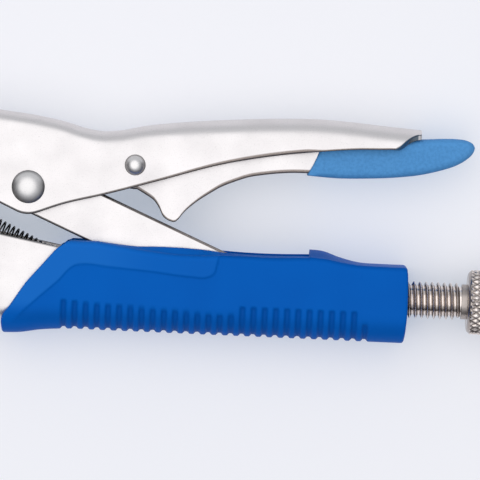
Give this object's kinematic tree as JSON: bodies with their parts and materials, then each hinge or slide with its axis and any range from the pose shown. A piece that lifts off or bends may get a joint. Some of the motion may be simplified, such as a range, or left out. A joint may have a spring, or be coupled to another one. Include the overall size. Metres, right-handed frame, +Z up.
{
  "type": "locking pliers",
  "caption": "Curved-jaw locking pliers lying closed and locked, with toggle link, release lever, return spring, knurled adjusting screw and blue grip.",
  "frame": {"origin": "on the surface the tool lies on, under the middle of its length and height", "axes": "+X from the jaws' nose back along the adjusting screw to its knob, +Y from the fixed handle to the movable handle, +Z up through the tool's thickness"},
  "size_m": [0.2462, 0.0683, 0.021],
  "materials": {
    "nickel_sheet": "satin nickel plate on tumbled pressed steel",
    "nickel_forging": "satin nickel plate on ground forging",
    "nickel_rivet": "satin nickel plate on domed heads",
    "nickel_screw": "nickel plate on rolled thread and knurl",
    "plain_steel": "turned steel",
    "spring_wire": "oiled black spring wire",
    "blue_grip": "satin moulded plastic",
    "blue_sleeve": "dipped vinyl, slightly grainy"
  },
  "bodies": {
    "fixed_frame": {"fixed_handle": "nickel_sheet", "fixed_jaw": "nickel_forging", "fixed_jaw_rivet_front": "nickel_rivet", "fixed_jaw_rivet_rear": "nickel_rivet", "main_pivot_rivet": "nickel_rivet", "threaded_bush": "plain_steel", "handle_grip": "blue_grip", "spring_anchor_pin": "plain_steel"},
    "jaw": {"movable_jaw": "nickel_forging", "handle_pivot_rivet": "nickel_rivet"},
    "handle": {"movable_handle": "nickel_sheet", "link_rivet": "nickel_rivet", "lever_rivet": "nickel_rivet"},
    "link": {"toggle_link": "nickel_sheet", "link_foot_pin": "plain_steel"},
    "lever": {"release_lever": "nickel_sheet", "lever_sleeve": "blue_sleeve"},
    "spring": {"tension_spring": "spring_wire"},
    "screw_carrier": {"screw_collar": "nickel_screw"},
    "screw": {"adjusting_screw": "nickel_screw"}
  },
  "joints": [
    {"name": "jaw_swing", "type": "hinge", "parent": "fixed_frame", "child": "jaw", "pos_m": [-0.06385, -0.008, 0.0105], "axis": [0, 0, -1], "range_deg": [0, 20], "deforming": ["tension_spring"]},
    {"name": "handle_swing", "type": "hinge", "parent": "jaw", "child": "handle", "pos_m": [-0.05705, 0.0247, 0.0105], "axis": [0, 0, 1], "range_deg": [0, 67]},
    {"name": "link_swing", "type": "hinge", "parent": "handle", "child": "link", "pos_m": [-0.02675, 0.0096, 0.0105], "axis": [0, 0, -1], "range_deg": [0, 68]},
    {"name": "lever_press", "type": "hinge", "parent": "handle", "child": "lever", "pos_m": [0.00455, 0.0174, 0.0105], "axis": [0, 0, -1], "range_deg": [0, 4]},
    {"name": "spring_swing", "type": "hinge", "parent": "fixed_frame", "child": "spring", "pos_m": [-0.00745, -0.0171, 0.0105], "axis": [0, 0, 1], "range_deg": [0, 4.11]},
    {"name": "screw_travel", "type": "slide", "parent": "fixed_frame", "child": "screw_carrier", "axis": [1, 0, 0], "range_m": [0, 0.01451]},
    {"name": "screw_turn", "type": "hinge", "parent": "screw_carrier", "child": "screw", "pos_m": [0.09615, -0.0193, 0.0105], "axis": [1, 0, 0], "range_deg": [0, 2880]}
  ],
  "couplings": [
    {"joint": "handle_swing", "follows": "jaw_swing", "ratio": 3.35},
    {"joint": "link_swing", "follows": "jaw_swing", "ratio": 3.4},
    {"joint": "spring_swing", "follows": "jaw_swing", "ratio": 0.2051},
    {"joint": "screw_turn", "follows": "screw_travel", "rad_per_m": 3463.2}
  ]
}
